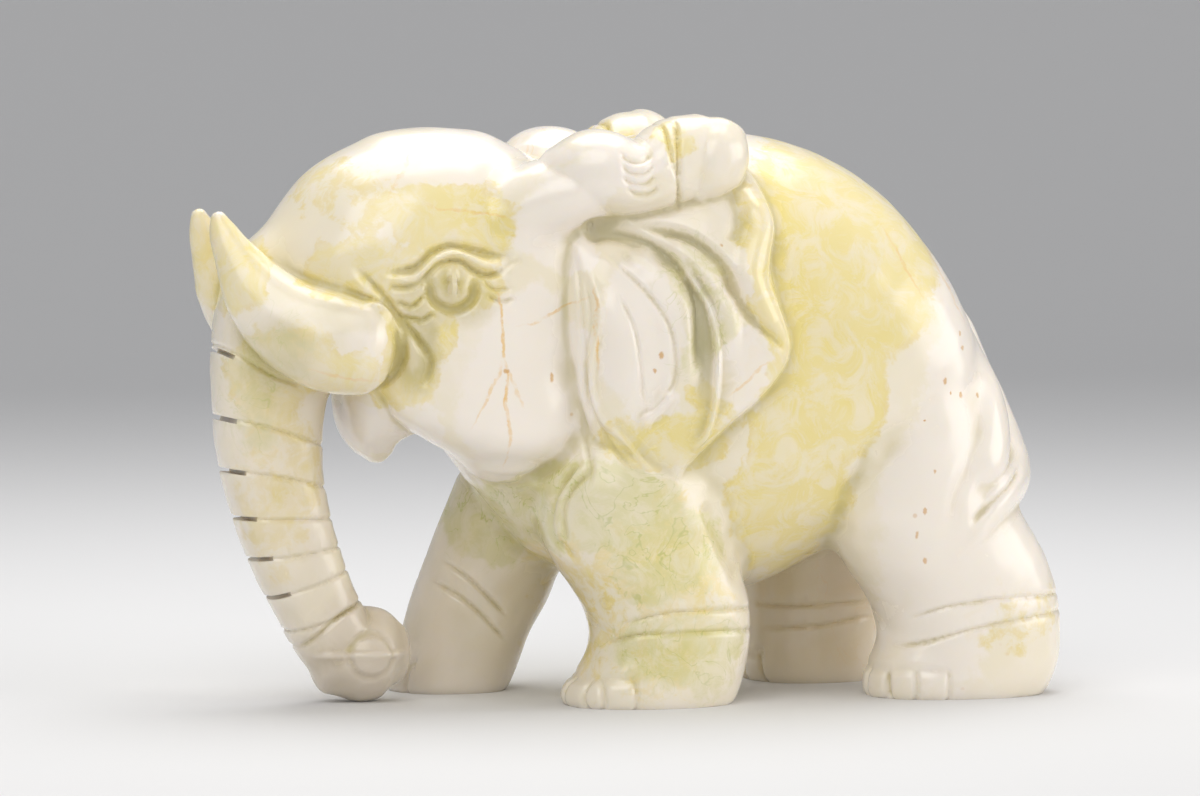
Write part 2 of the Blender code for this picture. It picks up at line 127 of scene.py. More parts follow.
NEAR_FORE_LEG = (
    (0, -19, 29, -27, 19),
    (4, -19.5, 31, -27, 19),
    (9, -15, 32, -27, 19),
    (18, -10.5, 33.5, -27, 18.5),
    (29, -14, 33, -27, 19),
    (43, -23, 29, -26, 20),
    (60, -24, 27, -24, 21.5),
    (82, -15, 22, -19, 20.5),
)
FAR_FORE_LEG = (
    (0, -55, -20, 27, 18),
    (14, -50, -14.5, 27, 18),
    (26, -46.5, -8, 27, 18),
    (38, -42, -3, 26, 19),
    (58, -34, 6, 24, 21),
    (80, -24, 14, 20, 20),
)
NEAR_HIND_LEG = (
    (0, 68, 120, -27, 19),
    (7, 68.5, 123.5, -27, 19.5),
    (16, 73, 124.5, -27, 19.5),
    (27, 69.5, 123.5, -27, 20),
    (38, 62, 120, -27, 21),
    (52, 56, 112, -26, 22.5),
    (70, 61, 103, -24, 23.5),
    (90, 68, 97, -21, 24),
)
FAR_HIND_LEG = (
    (0, 50.5, 89, 27, 19),
    (22, 49.5, 91, 27, 19.5),
    (40, 49, 98, 26, 21),
    (58, 52, 104, 25, 22.5),
    (70, 61, 102, 24, 23.5),
    (90, 68, 97, 21, 24),
)

# Path tables: x, y, z, half across in the side view, half wide.
TRUNK = (
    (-76, 0, 116, 16, 20),
    (-84.5, 0, 113, 20.5, 18),
    (-89.5, 0, 106, 20, 16.5),
    (-93, 0, 97, 17.7, 15),
    (-94.8, 0, 86, 15.8, 13.5),
    (-95, 0, 73, 14.7, 12.7),
    (-93.8, 0, 63, 13.9, 12.2),
    (-91.2, 0, 51.3, 13, 11.8),
    (-87.5, 0, 40, 12.3, 11.4),
    (-83.5, 0, 31, 11.5, 11),
    (-78.7, 0, 21, 11.1, 11),
    (-73, 0, 13, 11, 11),
)
TRUNK_TIP = (
    (-80, 0, 11, 9, 9),
    (-72, 0, 12.6, 12.8, 12.5),
    (-64, 0, 13.3, 12.5, 12.5),
    (-58.5, 0, 13, 8.5, 8),
)
TUSK = (
    (-75, -26, 99, 13.6, 12.5),
    (-85, -23.5, 100.8, 13.8, 12),
    (-94.8, -20, 105.8, 12.2, 10.6),
    (-102.4, -17, 113.8, 9.4, 8.6),
    (-108, -14.3, 124, 5.7, 5.4),
    (-110.7, -13, 130, 3.8, 3.7),
    (-111.9, -12.4, 133.8, 2.2, 2.2),
)
FAR_CHEEK_BACK = 9.0
FAR_TUSK_BACK = 0.6
FAR_ROLL_BACK = 4.0
FAR_THUMB_RISE = 1.3
TAIL_ROOT = (
    (89, -6, 103, 9, 15),
    (96, -20, 87, 10.5, 16),
    (98, -30, 72, 10.5, 15),
    (95.5, -37, 60.5, 9, 12),
)
TAIL = (
    (93, 0, 109, 8, 7),
    (100, -1, 99.5, 8.5, 8),
    (104.3, -3, 87, 9.5, 9),
    (108.3, -6, 75.5, 10, 10),
    (109.3, -12, 67, 10.3, 11),
    (107, -23, 60.5, 10, 11),
    (100.5, -37, 56, 8.2, 9),
    (95, -43.5, 47.5, 5, 5),
    (89, -46, 41, 2, 2.5),
)
EAR_ROLL_ROOT = (
    (-38, -18, 131, 10, 12),
    (-27, -23, 136, 11.5, 14.5),
    (-14, -27.5, 141, 11, 15.5),
    (-4, -29, 142, 9, 13),
)
EAR_ROLL = (
    (-18, -23, 143.5, 9.5, 12),
    (-11, -28.5, 145.2, 12, 15.5),
    (-3, -30.5, 144, 11, 15),
    (3, -31, 144.2, 9.8, 14),
    (9, -31, 147, 11.6, 13.5),
    (15, -30.5, 149.5, 12, 13),
    (20, -29, 152, 10, 12),
)
EAR_THUMB = (
    (15.5, -31.5, 141, 6, 10),
    (19, -32, 145.5, 9.2, 12.5),
    (22, -32, 150.5, 9.8, 12.5),
    (24.2, -31, 155.5, 6.8, 10),
)

# The gap between the trunk and the lower lip: the x, z corners of a wedge sawn out of the soft masses.
MOUTH_GAP = ((-80.5, 58), (-79.8, 83.5), (-74.5, 83.5), (-68, 58))
MOUTH_GAP_HALF_WIDTH = 45

# The ear flap: x and z of its edge, in the side view, from the top of its front edge round the back.
EAR_EDGE = (
    (-20, 134),
    (2, 138),
    (18, 147),
    (30, 148),
    (36, 136),
    (34, 121),
    (36, 108),
    (38.5, 97),
    (32, 86),
    (20, 75),
    (11, 65),
    (7, 57.5),
    (-4, 64),
    (-13, 73),
    (-18, 88),
    (-21, 112),
)
EAR_MIDDLE = (9, 103)
EAR_PROUD = 5.5
EAR_ROOTED = 7.0

# Carving. Each row is the shape of the cut, its height, half width and the x, z of a line in the
# side view. A height below nothing is a groove. A round cut is a cosine across its line, a sharp
# one is a V. These are cut on both sides of the head.
EAR_FOLDS = (
    ("round", 2.4, 6.0, ((28, 140), (32, 132), (29.5, 124.5), (27.5, 117.5), (30.5, 108), (34.5, 100))),
    ("round", -1.0, 4.0, ((26, 140), (25.5, 133), (23, 126))),
    ("sharp", -2.0, 2.4, ((-1, 131), (10, 129), (16.5, 125), (20.5, 120), (22.5, 113.5), (28, 105), (35.5, 98))),
    ("round", -1.4, 5.0, ((2, 129), (10, 127), (16, 122), (19.5, 117), (21.5, 111))),
    ("round", 1.3, 3.5, ((5, 128), (12, 122.5), (17.5, 115.5), (21, 107), (21.5, 98))),
    ("round", -3.4, 5.0, ((5, 123.5), (8.5, 119), (13, 111.5), (14, 102.5), (14, 93.5), (13.5, 85)), 2.5),
    ("round", -2.2, 4.0, ((-16, 129), (-8.5, 130), (1, 126), (7.5, 120))),
    ("sharp", -1.2, 1.4, ((-8, 131), (1, 127.5), (7.5, 121.5), (11.5, 113.5), (12, 103), (12, 94))),
    ("round", 1.5, 1.5, ((8, 122.5), (12, 116), (15.5, 109), (17.3, 98), (17, 85), (15, 75.5), (12, 71))),
    ("round", -1.8, 7.0, ((-17, 128.5), (-8, 127), (-1, 122)), 3),
    ("round", 1.5, 10.0, ((-11, 114), (-8, 105), (-6, 97), (-6, 88), (-8, 83)), 2.5),
    ("sharp", -0.7, 1.2, ((-10.5, 123.5), (-3.5, 116.5), (2, 109.5), (5.5, 102), (6, 90), (1.5, 82.5), (-2.5, 80.5))),
    ("sharp", -0.6, 1.0, ((-8, 112), (-4.5, 103.5), (-3, 94), (-2, 83.5))),
    ("round", 0.8, 2.4, ((-2.5, 76.5), (0, 80.5), (3, 83.5), (5.5, 87))),
    ("sharp", -0.6, 1.3, ((-18.5, 124.5), (-17.5, 107), (-17, 89.5), (-16, 78), (-15, 68), (-15.5, 62))),
    ("round", 0.6, 1.4, ((-15, 119), (-13, 108), (-15.5, 94), (-13.3, 80.5), (-5, 71.5), (1, 63.5))),
    ("sharp", -0.5, 1.1, ((-17, 118), (-15.5, 107), (-17, 93), (-15, 82), (-9, 71), (-2, 63))),
)
EYE_FOLDS = (
    ("round", 2.4, 5.6, ((-53.5, 115.5), (-51.5, 115.5))),
    ("round", -1.9, 2.4, ((-59, 117), (-58, 112), (-54.5, 109.2), (-50.5, 109.2), (-47, 112), (-46, 117))),
    ("round", 1.3, 2.3, ((-69.5, 117.3), (-63, 116.5), (-59.5, 120), (-55.5, 123), (-51, 124), (-42.5, 120.3), (-36, 120.5))),
    ("sharp", -2.0, 2.3, ((-69, 119), (-62.5, 120.5), (-58, 124.2), (-52.5, 126), (-46, 124.8), (-37.5, 123))),
    ("sharp", -1.8, 1.9, ((-69.5, 115), (-63.5, 115.6), (-60, 118), (-56, 121.5), (-50, 122), (-43, 118.2), (-34.5, 122))),
    ("sharp", -0.5, 0.8, ((-55, 116.6), (-50.5, 115.9))),
    ("sharp", -1.2, 1.4, ((-68, 111), (-63.5, 109.8), (-60, 113))),
    ("sharp", -1.2, 1.4, ((-66, 107), (-61, 106), (-57.5, 108))),
    ("sharp", -0.9, 1.1, ((-44, 116.8), (-41, 114.3), (-36.5, 114.5))),
    ("sharp", -0.9, 1.1, ((-43, 112.5), (-39.5, 111), (-35.5, 111.8))),
)
LIP_FOLDS = (
    ("round", 1.3, 3.0, ((-79, 118), (-72, 110.5), (-66.5, 103.5), (-63, 97), (-63, 91))),
    ("sharp", -1.5, 1.8, ((-76.5, 119), (-70.5, 112), (-64, 103.5), (-59.5, 98), (-58.5, 94), (-60, 89))),
    ("sharp", -1.2, 1.6, ((-80, 114), (-71, 110.5), (-66, 104), (-65, 97), (-68, 90), (-74, 85.5))),
    ("round", -1.0, 3.2, ((-44, 62.5), (-36, 61.5), (-27, 63), (-20.5, 68.5), (-16.5, 76.5))),
)

# The rings of the trunk, its tip, and the cracks and wrinkles of the ear rolls, which go right round;
# then the pairs of bands on the legs.
TRUNK_RINGS = (
    ((-112, 100), (-106, 96), (-98, 91), (-90, 88)),
    ((-112, 79.5), (-100, 77), (-84, 72), (-78, 70)),
    ((-110, 64.7), (-95, 63), (-82, 60), (-76, 58.5)),
    ((-107, 51.5), (-93, 51.2), (-81, 51), (-76, 51)),
    ((-103, 39.7), (-90, 41.2), (-78, 43), (-73, 44)),
    ((-97, 28.8), (-86, 32.4), (-76, 36), (-71, 38)),
    ((-92, 19.5), (-81, 23), (-73, 27), (-69, 29)),
)
TRUNK_TIP_FOLDS = (
    ("sharp", -1.0, 1.3, ((-89, 15), (-83, 20), (-77, 25), (-71, 27.5))),
    ("round", 0.8, 1.6, ((-85, 13.8), (-72, 13.8), (-58, 13.8))),
)
NOSTRIL_MIDDLE = (-69, 13.5)
NOSTRIL_RADIUS = 6.0
ROLL_FOLDS = (
    ("sharp", -1.0, 1.0, ((6, 159), (6, 152), (7.5, 145))),
    ("sharp", -1.4, 1.3, ((9.5, 160), (8.5, 153), (8.5, 143.5), (10, 136))),
)
CRESCENTS = ((-3.4, 148.4), (-3.2, 145.2), (-3.0, 142.3), (-1.8, 139.4))
CRESCENT_HALF = 4.4
CRESCENT_DEEP = 3.2
NEAR_FORE_BANDS = (
    ((-6.5, 23), (2, 25.5), (11, 26.5), (25, 26.5), (34, 26)),
    ((-9, 18), (-3, 20), (6.5, 20.5), (25, 20.5), (34, 20)),
)
NEAR_HIND_BANDS = (
    ((77, 22.5), (85, 25.5), (98.5, 27.5), (113.5, 28), (125, 28)),
    ((74, 14.5), (81, 16), (95, 20), (113, 22.5), (126, 23.5)),
)
FAR_FORE_BANDS = (
    ((-41, 37), (-32, 29), (-24.5, 21.5)),
    ((-43.5, 31), (-34.5, 24.5), (-24.5, 14.5)),
)
FAR_HIND_BANDS = (
    ((50.5, 22.5), (58, 22), (82, 23)),
    ((53, 15.5), (63, 16), (83, 18.5)),
)

# The creases of the body on the left side.
NEAR_CREASES = (
    ("round", -0.7, 4.0, ((63, 71), (60, 61), (57.5, 55), (58.5, 42))),
    ("round", -0.8, 4.0, ((16, 56), (21, 46), (28, 33))),
    ("sharp", -1.0, 1.4, ((-18, 66.5), (-22, 59.5), (-23.5, 53), (-23.5, 47), (-19, 41))),
    ("sharp", -0.9, 1.3, ((-15, 65), (-20, 59.5), (-22, 53), (-21, 45))),
    ("round", 0.9, 1.3, ((-16.5, 66), (-21, 59.5), (-22.8, 53), (-22, 46))),
    ("sharp", -1.2, 1.8, ((110, 63), (104, 58.5), (98, 54.5), (92, 49))),
    ("round", -0.5, 4.0, ((97, 78), (93, 69), (88, 59), (85, 48))),
)
FAR_CREASES = (
    ("round", -0.7, 4.0, ((58, 82), (52, 66), (47, 52), (46, 42))),
    ("round", -0.8, 4.0, ((16, 62), (10, 48), (2, 36))),
)

# Toes: for each foot its y, the x of its front, and the x of the cuts between the nails at its side.
FEET = (
    (-27, -19.5, (-11.5, -3.5)),
    (27, -55, (-48, -39.5)),
    (-27, 67, (71.5, 78, 86.5)),
    (27, 49.5, (54, 61, 69)),
)
NAIL_TOP = 7.8

# The saw slits in the front of the trunk: x and z of the mouth, x and z of the run across the trunk.
SLITS = (
    ((-110.5, 97.5), (9, -5)),
    ((-110, 79), (26, -6)),
    ((-107.5, 64.5), (26, -3)),
    ((-104.5, 51.5), (24, 0)),
    ((-100, 40.2), (22, 3)),
    ((-94.8, 29.6), (19, 7)),
)


def curve_through(table, per_span):
    """A smooth curve through the rows of a table: each span is a cubic whose end slopes are taken
    from the rows on either side."""
    rows = np.asarray(table, float)
    slopes = np.gradient(rows, axis=0)
    t = np.linspace(0, 1, per_span, endpoint=False)[None, :, None]
    start, end = rows[:-1, None], rows[1:, None]
    leave, arrive = slopes[:-1, None], slopes[1:, None]
    cubic = (
        (2 * t**3 - 3 * t**2 + 1) * start
        + (t**3 - 2 * t**2 + t) * leave
        + (3 * t**2 - 2 * t**3) * end
        + (t**3 - t**2) * arrive
    )
    return np.vstack([cubic.reshape(-1, rows.shape[1]), rows[-1:]])


def upright(table):
    """Path rows for a mass that is given by its lowest and highest line."""
    return [(x, 0, (low + high) / 2, (high - low) / 2, half) for x, low, high, half in table]


def level(table):
    """Path rows for a mass that is given by its front and back line."""
    return [((front + back) / 2, y, z, (back - front) / 2, half) for z, front, back, y, half in table]


def mirrored(table):
    """The same path on the other side of the figure."""
    return [(x, -y, z, across, wide) for x, y, z, across, wide in table]


def set_back(table, distance, rise=0.0):
    """The same path moved towards the tail, and up."""
    return [(x + distance, y, z + rise, across, wide) for x, y, z, across, wide in table]


def unit(vectors):
    return vectors / np.linalg.norm(vectors, axis=-1, keepdims=True)


def carried_oval(name, table, caps, squareness=2.0, across=None, sides=80, per_span=14):
    """A closed mass: an oval carried along a path and rounded off at both ends by caps of that length.
    The oval is (cos a, sin a), each to the power 2 over squareness. It stands square to the path, or
    holds the direction across in every section."""
    rows = curve_through(table, per_span)
    path, half_across, half_wide = rows[:, :3], rows[:, 3], rows[:, 4]
    along = unit(np.gradient(path, axis=0))
    if across is None:
        wide = unit(np.array([0.0, 1.0, 0.0]) - along * along[:, 1:2])
        up = np.cross(wide, along)
    else:
        up = np.tile(np.asarray(across, float), (len(path), 1))
        wide = np.tile([0.0, 1.0, 0.0], (len(path), 1))
        facing = np.cross(up, wide)
        along = facing * np.sign(np.sum(facing * along, axis=1, keepdims=True))
    turn = np.linspace(0, np.pi / 2, 6)[1:-1]
    first = [(0, np.cos(a), -caps[0] * np.sin(a)) for a in turn[::-1]]
    body = [(i, 1.0, 0.0) for i in range(len(path))]
    last = [(len(path) - 1, np.cos(a), caps[1] * np.sin(a)) for a in turn]
    index, shrink, push = (np.array(column) for column in zip(*(first + body + last)))
    index = index.astype(int)
    angle = np.linspace(0, 2 * np.pi, sides, endpoint=False)
    c = np.sign(np.cos(angle)) * np.abs(np.cos(angle)) ** (2 / squareness)
    s = np.sign(np.sin(angle)) * np.abs(np.sin(angle)) ** (2 / squareness)
    centres = path[index] + along[index] * push[:, None]
    rings = (
        centres[:, None]
        + up[index][:, None] * (half_across[index] * shrink)[:, None, None] * c[None, :, None]
        + wide[index][:, None] * (half_wide[index] * shrink)[:, None, None] * s[None, :, None]
    )
    poles = np.array([path[0] - along[0] * caps[0], path[-1] + along[-1] * caps[1]])
    points = np.vstack([rings.reshape(-1, 3), poles])
    count = len(index)
    ring = np.arange(count * sides).reshape(count, sides)
    after = np.roll(ring, -1, axis=1)
    quads = np.stack([ring[:-1], after[:-1], after[1:], ring[1:]], axis=-1).reshape(-1, 4)
    start_fan = np.stack([after[0], ring[0], np.full(sides, count * sides)], axis=-1)
    end_fan = np.stack([ring[-1], after[-1], np.full(sides, count * sides + 1)], axis=-1)
    mesh = bpy.data.meshes.new(name)
    mesh.from_pydata(points * GRAIN, [], quads.tolist() + start_fan.tolist() + end_fan.tolist())
    face_outwards(mesh)
    return mesh


def face_outwards(mesh):
    """Turns the faces of a closed mesh to point out."""
    work = bmesh.new()
    work.from_mesh(mesh)
    bmesh.ops.recalc_face_normals(work, faces=work.faces)
    work.to_mesh(mesh)
    work.free()


def torso_side(x, z):
    """Half the width of the torso at a place in the side view, from the ovals of its table."""
    rows = curve_through(TORSO, 6)
    low, high, half = (np.interp(x, rows[:, 0], rows[:, i]) for i in (1, 2, 3))
    share = np.abs((z - (low + high) / 2) / ((high - low) / 2))
    return half * np.maximum(1 - share**2.2, 0.02) ** (1 / 2.2)


def ear_flap(name, side):
    """The closed flap of one ear: rings that shrink from its edge to its middle, the outer skin
    standing proud of the torso and turned down at the edge, the inner skin rooted inside it."""
    edge = curve_through(EAR_EDGE + EAR_EDGE[:1], 5)[:-1]
    sides = len(edge)
    reach = np.linspace(1, 0.08, 14)
    flat = EAR_MIDDLE + (edge[None] - EAR_MIDDLE) * reach[:, None, None]
    turned = (1 - reach**10) ** 0.5
    body = np.maximum(torso_side(flat[..., 0], flat[..., 1]), 27)
    proud = body + EAR_PROUD * (0.35 + 0.65 * turned[:, None])
    rooted = body - EAR_ROOTED
    outer = np.dstack([flat[..., 0], side * proud, flat[..., 1]])
    inner = np.dstack([flat[..., 0], side * rooted, flat[..., 1]])
    rings = np.concatenate([inner[::-1], outer])
    middle = [ring[-1].mean(axis=0) for ring in (inner, outer)]
    points = np.vstack([rings.reshape(-1, 3), middle])
    ring = np.arange(len(rings) * sides).reshape(-1, sides)
    after = np.roll(ring, -1, axis=1)
    quads = np.stack([ring[:-1], after[:-1], after[1:], ring[1:]], axis=-1).reshape(-1, 4)
    start_fan = np.stack([after[0], ring[0], np.full(sides, ring.size)], axis=-1)
    end_fan = np.stack([ring[-1], after[-1], np.full(sides, ring.size + 1)], axis=-1)
    mesh = bpy.data.meshes.new(name)
    mesh.from_pydata(points * GRAIN, [], quads.tolist() + start_fan.tolist() + end_fan.tolist())
    face_outwards(mesh)
    return mesh


def near_line(places, line):
    """How far each place (two numbers) lies from a smooth line, and its share of the way along it."""
    path = curve_through(line, 6)
    start, run = path[:-1], np.diff(path, axis=0)
    away = places[:, None] - start
    share = np.clip(np.sum(away * run, axis=2) / np.sum(run**2, axis=1), 0, 1)
    distance = np.linalg.norm(away - share[..., None] * run, axis=2)
    nearest = distance.argmin(axis=1)
    each = np.arange(len(places))
    return distance[each, nearest], (nearest + share[each, nearest]) / len(run)


def cut(places, where, shape, height, half, line, fade=6.0):
    """How far each place moves out for one line: the height, times a cosine swell or a V across the
    line, dying away over a sixth of its length at each end. Only places marked in where move."""
    moved = np.zeros(len(places))
    corners = np.asarray(line, float)
    low, high = corners.min(axis=0) - half - 1, corners.max(axis=0) + half + 1
    close = np.flatnonzero((where > 0) & np.all((places > low) & (places < high), axis=1))
    if len(close) == 0:
        return moved
    distance, along = near_line(places[close], line)
    across = np.clip(distance / half, 0, 1)
    swell = 0.5 + 0.5 * np.cos(np.pi * across) if shape == "round" else (1 - across) ** 1.3
    ends = np.clip(np.minimum(along, 1 - along) * fade + 0.25, 0, 1)
    moved[close] = height * swell * ends * where[close]
    return moved


def crescent(middle):
    """The x, z points of a hanging arc with its lowest point at the middle."""
    turn = np.radians(np.linspace(-80, 80, 7))
    return np.stack(
        [middle[0] + CRESCENT_HALF * np.sin(turn), middle[1] + CRESCENT_DEEP * (1 - np.cos(turn))], axis=1
    )


def carving(points, normals):
    """How far every point moves out along its normal for all the lines, in grains."""
    side_view, front_view = points[:, [0, 2]], points[:, [1, 2]]
    x, y, z = points.T
    moved = np.zeros(len(points))
    for side in (-1, 1):
        facing = np.clip(2 * side * normals[:, 1], 0, 1) * (side * y > 4)
        for row in EAR_FOLDS + EYE_FOLDS + LIP_FOLDS:
            moved += cut(side_view, facing, *row)
        roll = 1.0 * (side * y > 15) * (z > 130)
        for row in ROLL_FOLDS:
            moved += cut(side_view, roll, *row)
        for middle in CRESCENTS:
            moved += cut(side_view, roll, "sharp", -0.9, 1.3, crescent(middle))
        for row in NEAR_CREASES if side < 0 else FAR_CREASES:
            moved += cut(side_view, facing, *row)
    trunk = 1.0 * (np.abs(y) < 14)
    for line in TRUNK_RINGS:
        moved += cut(side_view, trunk, "sharp", -0.7, 0.9, line, 30)
    for row in TRUNK_TIP_FOLDS:
        moved += cut(side_view, trunk, *row)
    ring = np.abs(np.hypot(x - NOSTRIL_MIDDLE[0], z - NOSTRIL_MIDDLE[1]) - NOSTRIL_RADIUS)
    moved -= 0.5 * np.clip(1 - ring / 1.3, 0, 1) * trunk
    near_leg = (y < -3) * np.clip(-2 * normals[:, 1], 0, 1)
    far_leg = (y > 3) * np.clip(2 * np.abs(normals[:, 1]), 0, 1)
    for leg, bands in (
        (near_leg, NEAR_FORE_BANDS + NEAR_HIND_BANDS),
        (far_leg, FAR_FORE_BANDS + FAR_HIND_BANDS),
    ):
        for line in bands:
            moved += cut(side_view, leg, "sharp", -0.85, 1.1, line)
    for foot_y, front, cuts in FEET:
        outer = np.sign(foot_y)
        foot = 1.0 * (outer * y > 6) * (z < 14)
        at_side = foot * np.clip(2 * outer * normals[:, 1], 0, 1)
        at_front = foot * np.clip(-2 * normals[:, 0], 0, 1) * (np.abs(x - front) < 14) * (outer * y > 16)
        top = ((front - 3, NAIL_TOP - 0.5), (cuts[0], NAIL_TOP + 0.5), (cuts[-1] + 1, NAIL_TOP))
        moved += cut(side_view, np.maximum(at_side, at_front), "round", -0.6, 2.4, top)
        for place in cuts:
            moved += cut(side_view, at_side, "sharp", -0.9, 1.3, ((place, -3), (place - 0.4, NAIL_TOP)))
        for place in (-10, 0, 10):
            line = ((foot_y + place, -3), (foot_y + place * 0.9, NAIL_TOP))
            moved += cut(front_view, at_front, "sharp", -0.9, 1.3, line)
    return moved


def hand_waves(points):
    """The slight unevenness of hand polish: three crossed sine waves of different lengths."""
    turn = 2 * np.pi / WAVE_LENGTH
    x, y, z = points.T
    waves = np.sin(turn * (x + 0.6 * z)) + np.sin(turn * 1.3 * (z - 0.5 * y + 4))
    waves += 0.7 * np.sin(turn * 1.9 * (0.8 * x - z + 0.7 * y))
    return WAVE_HEIGHT * waves / 2


def read_points(mesh):
    """Points and normals of a mesh as arrays, the points in grains."""
    points = np.empty(len(mesh.vertices) * 3)
    mesh.vertices.foreach_get("co", points)
    normals = np.empty(len(mesh.vertices) * 3)
    mesh.vertex_normals.foreach_get("vector", normals)
    return points.reshape(-1, 3) / GRAIN, normals.reshape(-1, 3)


def carve(mesh):
    """Moves every point along its normal by the carving and the unevenness of the polish."""
    points, normals = read_points(mesh)
    moved = carving(points, normals) + hand_waves(points)
    points += normals * moved[:, None]
    mesh.vertices.foreach_set("co", points.ravel() * GRAIN)
    mesh.update()


def rubbed(values, edges, counts, times):
    """Values at points, each time set to the mean of their neighbours along the edges."""
    for _ in range(times):
        total = np.stack(
            [
                np.bincount(edges[:, 0], values[edges[:, 1], axis], len(values))
                + np.bincount(edges[:, 1], values[edges[:, 0], axis], len(values))
                for axis in range(values.shape[1])
            ],
            axis=1,
        )
        values = total / counts[:, None]
    return values


def mark_hollows(mesh):
    """Stores how hollow and how proud the stone is at each point, from 0 to 1: the height of the
    point above or below the skin rubbed flat around it, in half grains, and softened."""
    points, normals = read_points(mesh)
    edges = np.empty(len(mesh.edges) * 2, dtype=np.int64)
    mesh.edges.foreach_get("vertices", edges)
    edges = edges.reshape(-1, 2)
    counts = np.bincount(edges.ravel(), minlength=len(points)).astype(float)
    height = np.zeros(len(points))
    for times, weight in ((6, 2.4), (30, 0.35)):
        flat = rubbed(points, edges, counts, times)
        height += weight * np.sum((points - flat) * normals, axis=1)
    height = rubbed(height[:, None], edges, counts, 1)[:, 0]
    for name, values in (("hollow", -height), ("crest", height)):
        layer = mesh.attributes.new(name, "FLOAT", "POINT")
        layer.data.foreach_set("value", np.clip(values, 0, 1).astype(np.float32))


LEVEL, UPRIGHT = (1, 0, 0), (0, 0, 1)


def soft_masses():
    """The masses whose joins are rubbed into long soft hollows."""
    return [
        carried_oval("torso", upright(TORSO), (9, 5.5), 2.2, UPRIGHT),
        carried_oval("head", level(HEAD), (3, 3.5), 2.1, LEVEL),
        carried_oval("near_cheek", level(CHEEK), (6, 6), 2.5, LEVEL),
        carried_oval("far_cheek", set_back(mirrored(level(CHEEK)), FAR_CHEEK_BACK), (6, 6), 2.5, LEVEL),
        carried_oval("near_fore_leg", level(NEAR_FORE_LEG), (4, 14), 2.3, LEVEL),
        carried_oval("far_fore_leg", level(FAR_FORE_LEG), (4, 14), 2.3, LEVEL),
        carried_oval("near_hind_leg", level(NEAR_HIND_LEG), (4, 12), 2.3, LEVEL),
        carried_oval("far_hind_leg", level(FAR_HIND_LEG), (4, 12), 2.3, LEVEL),
        carried_oval("trunk", TRUNK, (10, 5), 2.8),
        carried_oval("near_ear_roll_root", EAR_ROLL_ROOT, (6, 5)),
        carried_oval("far_ear_roll_root", mirrored(EAR_ROLL_ROOT), (6, 5)),
        carried_oval("tail_root", TAIL_ROOT, (6, 6)),
    ]


def crisp_masses():
    """The masses that stand out of the figure with a clear edge."""
    return [
        carried_oval("trunk_tip", TRUNK_TIP, (4, 3), 1.6),
        carried_oval("jaw", level(JAW), (1, 3), 3.2, LEVEL),
        carried_oval("near_tusk", TUSK, (9, 1.5), 2.2),
        carried_oval("far_tusk", set_back(mirrored(TUSK), FAR_TUSK_BACK), (9, 1.5), 2.2),
        carried_oval("near_ear_roll", EAR_ROLL, (5, 4), 2.4),
        carried_oval("far_ear_roll", set_back(mirrored(EAR_ROLL), FAR_ROLL_BACK), (5, 4), 2.4),
        carried_oval("near_ear_thumb", EAR_THUMB, (4, 4), 2.3),
        carried_oval("far_ear_thumb", set_back(mirrored(EAR_THUMB), 0.0, FAR_THUMB_RISE), (4, 4), 2.3),
        ear_flap("near_ear_flap", -1),
        ear_flap("far_ear_flap", 1),
        carried_oval("tail", TAIL, (3, 3)),
    ]


def mouth_gap():
    """The wedge that is sawn out between the trunk and the lower lip, as a closed prism."""
    half = MOUTH_GAP_HALF_WIDTH
    points = np.array([(x, y, z) for y in (-half, half) for x, z in MOUTH_GAP]) * GRAIN
    count = len(MOUTH_GAP)
    sides = [(i, (i + 1) % count, count + (i + 1) % count, count + i) for i in range(count)]
    ends = [tuple(range(count)), tuple(range(count, 2 * count))]
    mesh = bpy.data.meshes.new("mouth_saw")
    mesh.from_pydata(points.tolist(), [], sides + ends)
    face_outwards(mesh)
    return mesh


def fused(meshes, voxel, rubs, halvings=0, sawn=None):
    """One skin round all the meshes, rubbed smooth that many times, rounded by halving its faces, and
    with the sawn mesh taken out of it."""
    block = bpy.data.objects.new("block", join_meshes(meshes))
    bpy.context.scene.collection.objects.link(block)
    remesh = block.modifiers.new("fuse", "REMESH")
    remesh.mode = "VOXEL"
    remesh.voxel_size = voxel * GRAIN
    smooth = block.modifiers.new("rub", "SMOOTH")
    smooth.factor = 0.5
    smooth.iterations = rubs
    if halvings:
        rounding = block.modifiers.new("halve", "SUBSURF")
        rounding.levels = rounding.render_levels = halvings
    if sawn:
        saw = bpy.data.objects.new("saw", sawn)
        bpy.context.scene.collection.objects.link(saw)
        take_away(block, saw)
    skin = bpy.data.meshes.new_from_object(block.evaluated_get(bpy.context.evaluated_depsgraph_get()))
    bpy.data.objects.remove(block)
    if sawn:
        bpy.data.objects.remove(saw)
    return skin


def take_away(block, saw):
    """Leaves the block with the saw's shape cut out of it."""
    cuts = block.modifiers.new("cuts", "BOOLEAN")
    cuts.operation = "DIFFERENCE"
    cuts.solver = "EXACT"
    cuts.object = saw


def join_meshes(meshes):
    """All the meshes in one, each still a closed shell of its own."""
    work = bmesh.new()
    for mesh in meshes:
        work.from_mesh(mesh)
    joined = bpy.data.meshes.new("block")
    work.to_mesh(joined)
    work.free()
    return joined


def stand_flat(mesh):
    """Saws the figure off flat at the ground and closes the soles."""
    work = bmesh.new()
    work.from_mesh(mesh)
    everything = work.verts[:] + work.edges[:] + work.faces[:]
    cut = bmesh.ops.bisect_plane(
        work, geom=everything, plane_co=(0, 0, 0), plane_no=(0, 0, -1), clear_outer=True
    )
    rim = [item for item in cut["geom_cut"] if isinstance(item, bmesh.types.BMEdge)]
    bmesh.ops.holes_fill(work, edges=rim)
    work.to_mesh(mesh)
    work.free()


